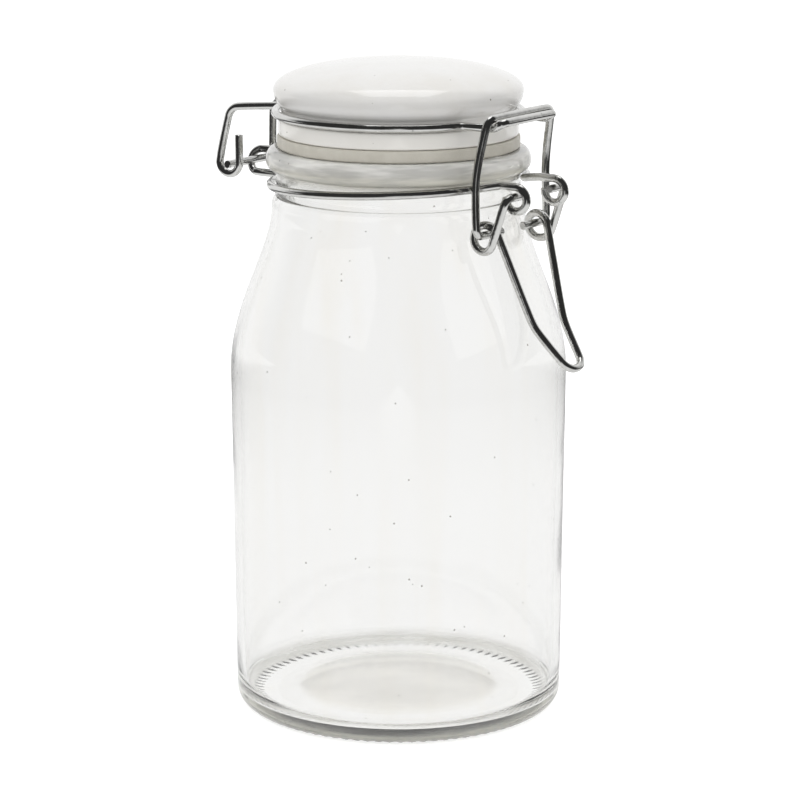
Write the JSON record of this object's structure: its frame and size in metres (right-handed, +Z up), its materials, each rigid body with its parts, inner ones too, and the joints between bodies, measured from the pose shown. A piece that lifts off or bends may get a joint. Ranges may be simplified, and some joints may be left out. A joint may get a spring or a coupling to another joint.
{
  "type": "clip-top storage jar",
  "caption": "Clear glass storage jar with a domed glazed ceramic lid on a rubber seal, hinged on bent wire behind and drawn shut in front by a wire bail and over-centre lever.",
  "frame": {"origin": "on the jar's axis, on the surface that the jar stands on", "axes": "+Z up along the jar's axis, +X towards the clasp, -X towards the hinge, +Y along the three parallel pivots"},
  "size_m": [0.1036, 0.0832, 0.1621],
  "materials": {
    "clear_glass": "clear pressed glass, smooth",
    "white_glaze": "opaque white gloss ceramic glaze",
    "pale_rubber": "matte grey-beige rubber",
    "plated_wire": "bright zinc-plated steel wire"
  },
  "bodies": {
    "jar": {"jar_glass": "clear_glass", "neck_wire": "plated_wire"},
    "lid": {"lid_ceramic": "white_glaze", "lid_gasket": "pale_rubber", "lid_wire": "plated_wire"},
    "lever": {"clasp_lever": "plated_wire"},
    "bail": {"clasp_bail": "plated_wire"}
  },
  "joints": [
    {"name": "lid_hinge", "type": "hinge", "parent": "jar", "child": "lid", "pos_m": [-0.0461, 0, 0.1332], "axis": [0, -1, 0], "range_deg": [0, 225]},
    {"name": "lever_pivot", "type": "hinge", "parent": "jar", "child": "lever", "pos_m": [0.0404, 0, 0.1332], "axis": [0, -1, 0], "range_deg": [0, 57]},
    {"name": "bail_pivot", "type": "hinge", "parent": "lever", "child": "bail", "pos_m": [0.0337, 0, 0.1238], "axis": [0, 1, 0], "range_deg": [0, 142.5]}
  ],
  "couplings": [
    {"joint": "bail_pivot", "follows": "lever_pivot", "ratio": 2.5}
  ]
}
